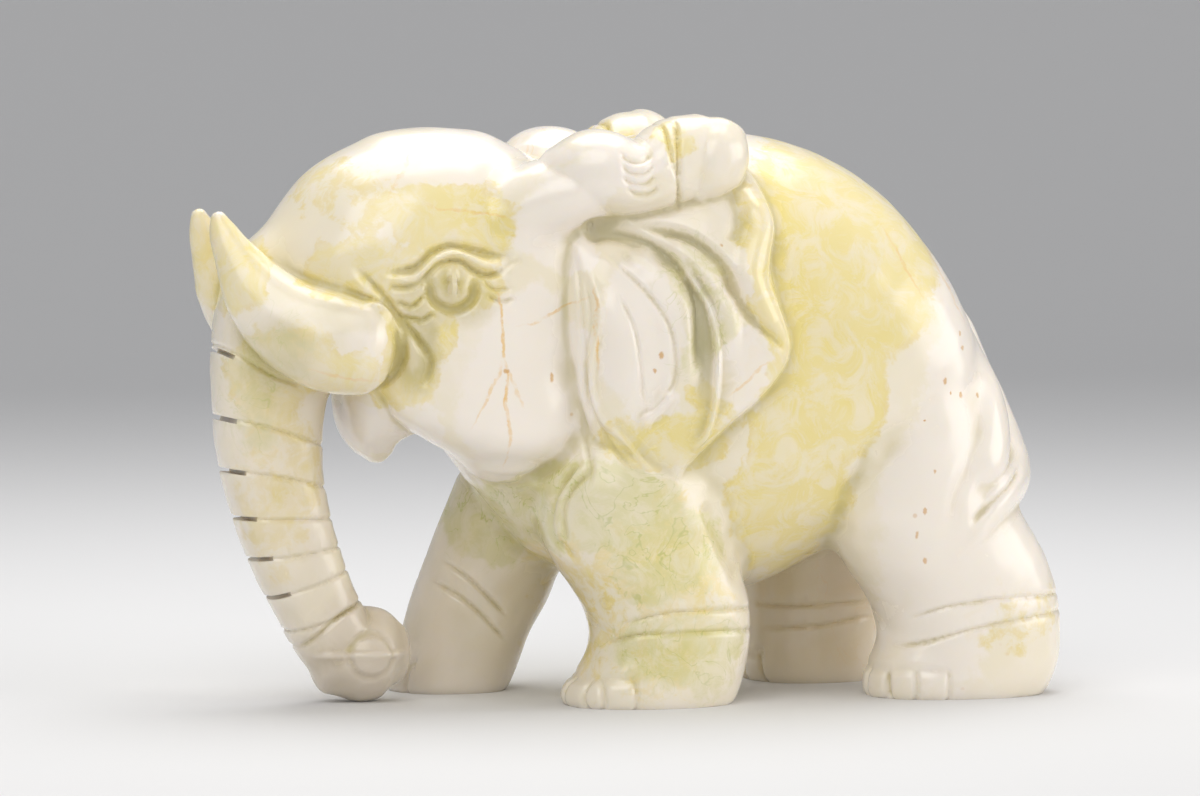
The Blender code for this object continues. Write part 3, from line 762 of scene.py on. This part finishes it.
def slit_blades():
    """The saw cuts as thin blades that reach a slit's depth into the front of the trunk."""
    work = bmesh.new()
    for mouth, run in SLITS:
        inwards = unit(np.array([run[0], 0.0, run[1]]))
        upwards = np.array([-inwards[2], 0.0, inwards[0]])
        middle = np.array([mouth[0], 0.0, mouth[1]]) * GRAIN
        blade = bmesh.ops.create_cube(work, size=1)["verts"]
        for vert in blade:
            x, y, z = vert.co
            vert.co = (
                middle
                + inwards * (x * 2 * SLIT_DEPTH)
                + upwards * (z * SLIT_WIDTH)
                + np.array([0.0, y * 40 * GRAIN, 0.0])
            )
    mesh = bpy.data.meshes.new("trunk_saw")
    work.to_mesh(mesh)
    work.free()
    return mesh


def bring_to_box(meshes):
    """Scales the figure to fill the frame's box, a hair inside it, and stands it on the box's floor."""
    points, _ = read_points(meshes[0])
    low, high = points.min(axis=0) * GRAIN, points.max(axis=0) * GRAIN
    box_low, box_high = np.array(node_low), np.array(node_high)
    hair = np.array([HAIR, HAIR, 0.0])
    scale = (box_high - box_low - hair - HAIR) / (high - low)
    stretch = Matrix.Diagonal((*scale, 1.0))
    place = Matrix.Translation(Vector(box_low + hair)) @ stretch @ Matrix.Translation(-Vector(low))
    for mesh in meshes:
        mesh.transform(place)


def finish_edges(elephant):
    """Keeps the thinned and slit skin as the figure's own mesh, with its creases left sharp and no
    point of it below the ground."""
    finished = elephant.evaluated_get(bpy.context.evaluated_depsgraph_get())
    elephant.data = bpy.data.meshes.new_from_object(finished)
    elephant.modifiers.clear()
    work = bmesh.new()
    work.from_mesh(elephant.data)
    bmesh.ops.triangulate(work, faces=work.faces)
    for vert in work.verts:
        vert.co.z = max(vert.co.z, 0.0)
    for edge in work.edges:
        edge.smooth = edge.calc_face_angle(0.0) < SHARP_ANGLE
    work.to_mesh(elephant.data)
    work.free()


class Wire:
    """One output of a shader node. Adding, taking away, multiplying or dividing wires and numbers
    makes Math nodes, so a mask is written as a sum."""

    def __init__(self, tree, socket):
        self.tree = tree
        self.socket = socket

    def maths(self, operation, *values):
        return node(self.tree, "ShaderNodeMath", {"operation": operation}, dict(enumerate(values)))

    def __add__(self, other):
        return self.maths("ADD", self, other)

    __radd__ = __add__

    def __sub__(self, other):
        return self.maths("SUBTRACT", self, other)

    def __rsub__(self, other):
        return self.maths("SUBTRACT", other, self)

    def __mul__(self, other):
        return self.maths("MULTIPLY", self, other)

    __rmul__ = __mul__

    def __truediv__(self, other):
        return self.maths("DIVIDE", self, other)

    def size(self):
        """The value without its sign."""
        return self.maths("ABSOLUTE", self)

    def larger(self, other):
        return self.maths("MAXIMUM", self, other)

    def smaller(self, other):
        return self.maths("MINIMUM", self, other)

    def held(self):
        """The value held between 0 and 1."""
        return node(self.tree, "ShaderNodeClamp", {}, {0: self})

    def ramp(self, start, end):
        """0 at start, 1 at end, eased at both."""
        values = {0: self, 1: start, 2: end, 3: 0.0, 4: 1.0}
        return node(self.tree, "ShaderNodeMapRange", {"interpolation_type": "SMOOTHSTEP"}, values)


def node(tree, kind, settings, values, output=0):
    """A shader node of that kind, its settings made first and then its sockets set or linked."""
    made = tree.nodes.new(kind)
    for name, value in settings.items():
        setattr(made, name, value)
    for key, value in values.items():
        if isinstance(value, Wire):
            tree.links.new(value.socket, made.inputs[key])
        else:
            made.inputs[key].default_value = value
    return Wire(tree, made.outputs[output])


def mixed(tree, share, first, second):
    """The first colour, turning into the second as the share goes from 0 to 1."""
    settings = {"data_type": "RGBA", "clamp_factor": True}
    return node(tree, "ShaderNodeMix", settings, {0: share, 6: first, 7: second}, 2)


def stone_noise(tree, place, size, detail=4.0, rough=0.55, twist=0.0):
    """Cloudy noise whose lumps are about size grains across."""
    values = {"Vector": place, "Scale": 1 / size, "Detail": detail, "Roughness": rough, "Distortion": twist}
    return node(tree, "ShaderNodeTexNoise", {}, values)


def stone_place(tree):
    """Place in the stone, in grains, counted as in the tables."""
    coordinates = node(tree, "ShaderNodeTexCoord", {}, {}, 3)
    values = {0: coordinates, 1: (1 / GRAIN,) * 3, 2: (FIGURE_MIDDLE, 0.0, 0.0)}
    return node(tree, "ShaderNodeVectorMath", {"operation": "MULTIPLY_ADD"}, values)


def wandered(tree, place, size, reach):
    """The same place, led astray by up to about that reach by noise whose lumps are size across."""
    noise = {"Vector": place, "Scale": 1 / size, "Detail": 4.0, "Roughness": 0.6}
    drift = node(tree, "ShaderNodeTexNoise", {}, noise, 1)
    values = {0: drift, 1: (2.0 * reach,) * 3, 2: (-1.0 * reach,) * 3}
    drift = node(tree, "ShaderNodeVectorMath", {"operation": "MULTIPLY_ADD"}, values)
    return node(tree, "ShaderNodeVectorMath", {"operation": "ADD"}, {0: place, 1: drift})


def oval_away(tree, place, middle, reach):
    """How far a place in the side view is from the middle of an oval, counted in the oval's reaches."""
    share = (1 / reach[0], 0.0, 1 / reach[1])
    shift = (-middle[0] / reach[0], 0.0, -middle[1] / reach[1])
    values = {0: place, 1: share, 2: shift}
    flat = node(tree, "ShaderNodeVectorMath", {"operation": "MULTIPLY_ADD"}, values)
    return node(tree, "ShaderNodeVectorMath", {"operation": "LENGTH"}, {0: flat}, 1)


def vein_away(tree, place, start, end):
    """The same for a vein, which is a long thin oval laid between two places in the side view."""
    run = np.subtract(end, start)
    half = float(np.hypot(*run)) / 2
    middle = np.add(start, end) / 2
    settings = {"vector_type": "TEXTURE"}
    values = {
        0: place,
        1: (float(middle[0]), 0.0, float(middle[1])),
        2: (0.0, -math.atan2(run[1], run[0]), 0.0),
        3: (half + VEIN_HALF_WIDTH, FLAT, VEIN_HALF_WIDTH),
    }
    flat = node(tree, "ShaderNodeMapping", settings, values)
    return node(tree, "ShaderNodeVectorMath", {"operation": "LENGTH"}, {0: flat}, 1)


def strongest(shapes):
    """The strongest of several shapes at every place: each is 1 in its middle and falls to 0 at 1.3
    times its reach, times its strength. Shapes of one strength share the fall of the nearest."""
    nearest = {}
    for away, strength in shapes:
        nearest[strength] = nearest[strength].smaller(away) if strength in nearest else away
    fields = [away.ramp(1.3, 0.55) * strength for strength, away in nearest.items()]
    largest = fields[0]
    for field in fields[1:]:
        largest = largest.larger(field)
    return largest


def zones(tree, place, ovals):
    """The strongest of several oval zones."""
    return strongest((oval_away(tree, place, middle, reach), strength) for middle, reach, strength in ovals)


# Where the stone changes colour, and where shade is painted on it: x, z of the middle, half length and
# half height, and strength.
YELLOW_ZONES = (
    ((58, 124), (31, 32), 1.0),
    ((46, 88), (21, 30), 1.0),
    ((42, 56), (20, 22), 0.85),
    ((-52, 133), (22, 11), 0.85),
    ((-76, 139), (18, 12), 0.45),
    ((-78, 119), (16, 11), 0.7),
    ((-56, 119), (19, 11), 0.85),
    ((-112, 122), (12, 15), 0.85),
    ((-88, 92), (18, 7), 0.7),
    ((31, 118), (7, 28), 0.85),
    ((4, 74), (20, 9), 0.7),
    ((18, 84), (12, 7), 0.6),
    ((-64, 99), (10, 22), 0.85),
    ((10, 152), (6, 7), 0.6),
    ((-96, 92), (14, 18), 0.6),
    ((0, 30), (30, 40), 0.45),
    ((-95, 62), (14, 34), 0.45),
    ((104, 24), (20, 12), 0.4),
)
MOSS_ZONES = (
    ((-12, 55), (22, 14), 0.85),
    ((4, 42), (20, 12), 0.7),
    ((10, 16), (22, 15), 0.7),
    ((-30, 50), (14, 14), 0.85),
    ((-100, 90), (10, 22), 0.5),
    ((12, 112), (11, 22), 0.5),
)
WHITE_ZONES = (
    ((-34, 88), (19, 28), 1.0),
    ((-66, 76), (13, 9), 1.0),
    ((-21, 134), (13, 16), 1.0),
    ((-6, 149), (15, 9), 1.0),
    ((-3, 100), (12, 24), 0.85),
    ((24, 92), (9, 12), 0.85),
    ((104, 78), (24, 58), 1.0),
    ((84, 44), (20, 46), 0.85),
    ((-40, 152), (22, 7), 0.85),
)
OLIVE_ZONES = (
    ((-62, 100), (6, 14), 1.0),
    ((-54, 113), (14, 8), 0.7),
    ((-100, 98), (10, 10), 0.5),
    ((-78, 108), (12, 5), 0.5),
)
# These darken the trunk tip, the far fore leg and the lower trunk: partly the stone's duskier tone, partly painted
# shade.
DUSKY_AND_SHADE_ZONES = (
    ((-70, 12), (26, 20), 1.0),
    ((-48, 10), (30, 18), 0.4),
    ((-94, 56), (18, 46), 0.45),
)
# The far hind leg made warmer and darker: partly the stone's ochre tone, partly painted shade on the far side.
OCHRE_AND_SHADE_ZONE = ((66, 22), (34, 30), 0.65)
# Ear hollows turned grey: partly the grey groove in the stone, partly painted shade under the ear roll.
EAR_HOLLOW_GREY_AND_SHADE_ZONES = (
    ((13, 104), (5, 16), 1.0),
    ((6, 124), (14, 6), 0.8),
    ((-6, 129), (12, 5), 0.6),
)

# Amber veins: the x, z of both ends, and strength. Rust spots: x, z, half length and half height.
# A vein is seen from the side only, so its oval is as good as endless across the figure.
VEIN_HALF_WIDTH = 0.5
FLAT = 100000.0
VEINS = (
    ((-40, 113), (-38, 92), 0.8),
    ((-38.5, 96), (-37, 67), 0.8),
    ((-39, 95), (-47.5, 78), 0.6),
    ((-39, 94), (-34, 84), 0.5),
    ((-33, 104.5), (-17, 111.5), 0.6),
    ((-14.6, 94), (-14.2, 114), 0.8),
    ((-68, 140), (-60, 151), 0.5),
    ((-58, 137), (-36, 134), 0.5),
    ((84, 128), (93, 104), 0.5),
    ((70, 130), (78, 112), 0.5),
    ((22, 86), (31, 94), 0.5),
    ((-92, 93), (-72, 90), 0.5),
)
RUST_SPOTS = (
    (84.7, 88.2, 0.64, 1.04),
    (86.6, 84.8, 0.4, 0.48),
    (90, 84.1, 0.56, 0.72),
    (95.8, 83.8, 0.48, 0.72),
    (90.5, 101, 0.48, 0.8),
    (91, 97, 0.56, 0.72),
    (78.6, 77.3, 0.4, 0.4),
    (81.1, 63.6, 0.48, 0.56),
    (78.2, 52.7, 0.48, 0.88),
    (76.1, 46.1, 0.4, 1.04),
    (78.7, 38.8, 0.56, 0.96),
    (-25.2, 90.4, 0.64, 1.28),
    (-38.3, 92.4, 0.8, 0.64),
    (2.5, 96.6, 0.72, 1.04),
    (0.8, 92.3, 0.48, 0.72),
    (20, 126, 0.4, 0.4),
)

CREAM = (0.88, 0.80, 0.62, 1)
WHITE = (0.94, 0.865, 0.785, 1)
YELLOW = (0.86, 0.73, 0.28, 1)
HONEY = (0.80, 0.63, 0.20, 1)
MOSS = (0.68, 0.64, 0.25, 1)
FERN = (0.50, 0.52, 0.12, 1)
OLIVE = (0.50, 0.43, 0.17, 1)
DUSKY = (0.60, 0.51, 0.38, 1)
DEEP = (0.54, 0.46, 0.18, 1)
OCHRE = (0.84, 0.70, 0.44, 1)
GREY = (0.52, 0.48, 0.31, 1)
AMBER = (0.84, 0.52, 0.13, 1)
RUST = (0.64, 0.33, 0.05, 1)


def serpentine():
    """Waxy serpentine: cream stone with yellow, mossy and white clouds, amber veins, rust specks,
    and darker, duller hollows whose darkness is partly painted shade; the far, low side and the ear
    hollows carry painted shade too, and the crests a painted highlight."""
    material = bpy.data.materials.new("serpentine")
    material.use_nodes = True
    tree = material.node_tree
    place = stone_place(tree)
    wandering = wandered(tree, place, 22, 11.0)
    trembling = wandered(tree, place, 9, 2.6)
    across = node(tree, "ShaderNodeSeparateXYZ", {}, {0: place}, 1)
    upwards = node(tree, "ShaderNodeSeparateXYZ", {}, {0: place}, 2)
    far_side = across.ramp(0, 10)
    hollow = node(tree, "ShaderNodeAttribute", {"attribute_name": "hollow"}, {}, 2)
    crest = node(tree, "ShaderNodeAttribute", {"attribute_name": "crest"}, {}, 2)
    clouds = stone_noise(tree, place, 26, 5.0, 0.6, 0.6)
    flecks = stone_noise(tree, place, 5.5, 4.0, 0.68, 0.4)
    threads = stone_noise(tree, place, 15, 3.0, 0.5, 1.6)
    mottling = stone_noise(tree, place, 9, 5.0, 0.72, 1.0).ramp(0.38, 0.60)
    ragged = (clouds - 0.5) * 0.7 + (flecks - 0.5) * 0.7

    yellow = zones(tree, wandering, YELLOW_ZONES)
    white = zones(tree, wandering, WHITE_ZONES)
    moss = zones(tree, wandering, MOSS_ZONES)
    yellow_patch = (yellow + ragged).ramp(0.30, 0.58) * (0.15 + 0.5 * clouds + 0.65 * mottling)
    white_patch = (white - ragged).ramp(0.34, 0.62)
    moss_patch = (moss - ragged * 1.2).ramp(0.34, 0.60) * (0.45 + 0.55 * mottling)
    colour = mixed(tree, clouds.ramp(0.42, 0.68) * 0.7, CREAM, WHITE)
    colour = mixed(tree, (yellow_patch * 0.95).held(), colour, YELLOW)
    border = (yellow + ragged).ramp(0.34, 0.46) * (yellow + ragged).ramp(0.66, 0.46)
    colour = mixed(tree, border * flecks.ramp(0.40, 0.60) * 0.45, colour, HONEY)
    colour = mixed(tree, moss_patch * 0.75, colour, MOSS)
    colour = mixed(tree, white_patch * 0.85, colour, WHITE)
    colour = mixed(tree, (zones(tree, trembling, OLIVE_ZONES) * 0.8).held(), colour, OLIVE)
    # Dusky tone, partly the stone's own and partly painted shade; the far side is also darkened towards its bottom,
    # which is painted shade.
    dusky_and_shade = zones(tree, wandering, DUSKY_AND_SHADE_ZONES).larger(far_side * upwards.ramp(70, 20) * 0.6)
    colour = mixed(tree, (dusky_and_shade * (0.5 + 0.5 * clouds)).held(), colour, DUSKY)
    # Warmer, darker far hind leg: partly the stone's ochre, partly painted shade.
    ochre_and_shade = zones(tree, wandering, [OCHRE_AND_SHADE_ZONE]) * far_side
    colour = mixed(tree, ochre_and_shade, colour, OCHRE)

    thread = (threads - 0.5).size().ramp(0.016, 0.0)
    moss_thread = thread * moss * flecks.ramp(0.36, 0.5)
    colour = mixed(tree, (moss_thread * 0.8).held(), colour, FERN)
    veins = strongest((vein_away(tree, trembling, start, end), share) for start, end, share in VEINS)
    vein = veins * (1 - far_side) + 0.4 * thread * far_side * white
    colour = mixed(tree, (vein * flecks.ramp(0.30, 0.62)).held(), colour, AMBER)

    cells = {"Vector": place, "Scale": 1 / 6.5, "Randomness": 1.0}
    speck = node(tree, "ShaderNodeTexVoronoi", {}, cells)
    chance = stone_noise(tree, place, 9, 2.0)
    specks = speck.ramp(0.13, 0.06) * white * chance.ramp(0.57, 0.62)
    tiny = wandered(tree, place, 1.5, 0.7)
    spots = strongest((oval_away(tree, tiny, (x, z), (long, high)), 1.0) for x, z, long, high in RUST_SPOTS)
    specks = specks * 0.7 + spots * (1 - far_side)
    colour = mixed(tree, (specks * 0.75).held(), colour, RUST)

    # The hollows are darkened towards DEEP: partly the rough grey of unpolished grooves, partly painted shade in
    # creases and recesses.
    groove_grime_and_shade = (hollow * 1.2).held()
    colour = mixed(tree, groove_grime_and_shade * 0.55, colour, DEEP)
    # The ear's hollows turn grey: partly the stone's grey-green groove, partly painted shade under the roll.
    ear_hollow_grey_and_shade = zones(tree, place, EAR_HOLLOW_GREY_AND_SHADE_ZONES) * (0.25 + groove_grime_and_shade)
    colour = mixed(tree, (ear_hollow_grey_and_shade * 0.6).held(), colour, GREY)
    # Proud crests are lightened towards WHITE: a painted highlight.
    colour = mixed(tree, (crest * 0.35).held(), colour, WHITE)

    dull = 0.20 + 0.30 * groove_grime_and_shade + 0.10 * flecks
    scratches = stone_noise(tree, place, 0.9, 2.0, 0.7)
    height = flecks * 0.35 + scratches * (0.12 + 0.5 * groove_grime_and_shade)
    bump = {"Strength": 0.12, "Distance": 0.4 * GRAIN, "Height": height}
    relief = node(tree, "ShaderNodeBump", {}, bump)

    shader = tree.nodes["Principled BSDF"]
    tree.links.new(colour.socket, shader.inputs["Base Color"])
    tree.links.new(dull.socket, shader.inputs["Roughness"])
    tree.links.new(relief.socket, shader.inputs["Normal"])
    shader.inputs["IOR"].default_value = 1.56
    shader.inputs["Subsurface Weight"].default_value = 0.25
    shader.inputs["Subsurface Radius"].default_value = (1.0, 0.82, 0.45)
    shader.inputs["Subsurface Scale"].default_value = 3 * GRAIN
    shader.inputs["Coat Weight"].default_value = 0.35
    shader.inputs["Coat Roughness"].default_value = 0.12
    return material


def elephant():
    """The carved figure as one mesh: fused, carved, sawn flat at the soles, slit and thinned."""
    body = fused(soft_masses(), BLOCK_VOXEL, BLOCK_RUBS, 1, mouth_gap())
    skin = fused([body] + crisp_masses(), SKIN_VOXEL, SKIN_RUBS)
    carve(skin)
    stand_flat(skin)
    slits = slit_blades()
    bring_to_box([skin, slits])
    skin.polygons.foreach_set("use_smooth", np.ones(len(skin.polygons), dtype=bool))
    figure = bpy.data.objects.new("elephant_figure", skin)
    bpy.context.scene.collection.objects.link(figure)
    thin = figure.modifiers.new("thin", "DECIMATE")
    thin.ratio = min(1.0, SKIN_TRIANGLES / (2 * len(skin.polygons)))
    saw = bpy.data.objects.new("trunk_saw", slits)
    bpy.context.scene.collection.objects.link(saw)
    take_away(figure, saw)
    finish_edges(figure)
    bpy.data.objects.remove(saw)
    return figure


def table_top():
    """A plain pale table that the figure stands on, and which bends up in a quarter circle behind it."""
    reach, bend, rise = 6.0, 1.5, 4.0
    turn = np.linspace(0, np.pi / 2, 24)
    run = np.concatenate([[-reach], bend + bend * np.sin(turn), [2 * bend]])
    height = np.concatenate([[0.0], bend - bend * np.cos(turn), [rise]])
    points = np.array([[(x, y, z) for y, z in zip(run, height)] for x in (-reach, reach)])
    count = len(run)
    quads = [(i, count + i, count + i + 1, i + 1) for i in range(count - 1)]
    mesh = bpy.data.meshes.new("table_top")
    mesh.from_pydata(points.reshape(-1, 3).tolist(), [], quads)
    mesh.polygons.foreach_set("use_smooth", np.ones(len(quads), dtype=bool))
    material = bpy.data.materials.new("table_paint")
    material.use_nodes = True
    shader = material.node_tree.nodes["Principled BSDF"]
    shader.inputs["Base Color"].default_value = (0.77, 0.77, 0.78, 1)
    shader.inputs["Roughness"].default_value = 0.85
    shader.inputs["Specular IOR Level"].default_value = 0.15
    mesh.materials.append(material)
    floor = bpy.data.objects.new("table_top", mesh)
    bpy.context.scene.collection.objects.link(floor)


def lamp(name, place, aim, size, power, colour):
    """A soft square lamp at a place, facing its aim, whose own panel isn't seen."""
    data = bpy.data.lights.new(name, "AREA")
    data.size = size
    data.energy = power
    data.color = colour
    light = bpy.data.objects.new(name, data)
    light.visible_camera = False
    light.location = place
    light.rotation_mode = "QUATERNION"
    light.rotation_quaternion = (Vector(aim) - Vector(place)).to_track_quat("-Z", "Y")
    bpy.context.scene.collection.objects.link(light)


def studio():
    """Soft light from above and both sides, and a pale room."""
    aim = (0, 0, 0.08)
    lamp("key", (-0.55, -0.80, 0.90), aim, 0.9, 5.6, (1.0, 0.98, 0.95))
    lamp("top", (0.05, 0.25, 0.95), aim, 0.8, 6.4, (1.0, 0.99, 0.97))
    lamp("side", (2.10, -1.20, 0.48), aim, 2.0, 32.0, (1.0, 0.97, 0.94))
    room = bpy.data.worlds.new("room")
    bpy.context.scene.world = room
    room.use_nodes = True
    room.node_tree.nodes["Background"].inputs["Color"].default_value = (0.90, 0.91, 0.92, 1)
    room.node_tree.nodes["Background"].inputs["Strength"].default_value = 0.42


# The camera: how far round towards the head and how high it stands, in degrees; how far off; and
# how many pixels of the 1200 across it gives to a metre at the figure.
CAMERA_AROUND = -17.0
CAMERA_HIGH = 3.3
CAMERA_OFF = 1.8
PIXELS_PER_METRE = 3604.0
FRAME_PIXELS = 1200.0
AIM_HEIGHT = 0.0824
AIM_ALONG = -0.0054


def camera():
    """A long lens that looks level at the left side, a little from the head end."""
    around, high = math.radians(CAMERA_AROUND), math.radians(CAMERA_HIGH)
    back = Vector((math.sin(around) * math.cos(high), -math.cos(around) * math.cos(high), math.sin(high)))
    aim = Vector((AIM_ALONG, 0.0, AIM_HEIGHT))
    data = bpy.data.cameras.new("camera")
    data.sensor_width = 36
    data.lens = PIXELS_PER_METRE * CAMERA_OFF * 36 / FRAME_PIXELS
    data.clip_end = 20
    view = bpy.data.objects.new("camera", data)
    view.location = aim + back * CAMERA_OFF
    view.rotation_mode = "QUATERNION"
    view.rotation_quaternion = (-back).to_track_quat("-Z", "Y")
    bpy.context.scene.collection.objects.link(view)
    bpy.context.scene.camera = view


def main():
    figure = elephant()
    mark_hollows(figure.data)
    figure.data.materials.clear()
    figure.data.materials.append(serpentine())
    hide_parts("elephant")
    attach(figure, "root")
    table_top()
    studio()
    camera()
    bpy.context.scene.view_settings.view_transform = "Standard"
    bpy.context.view_layer.update()


main()
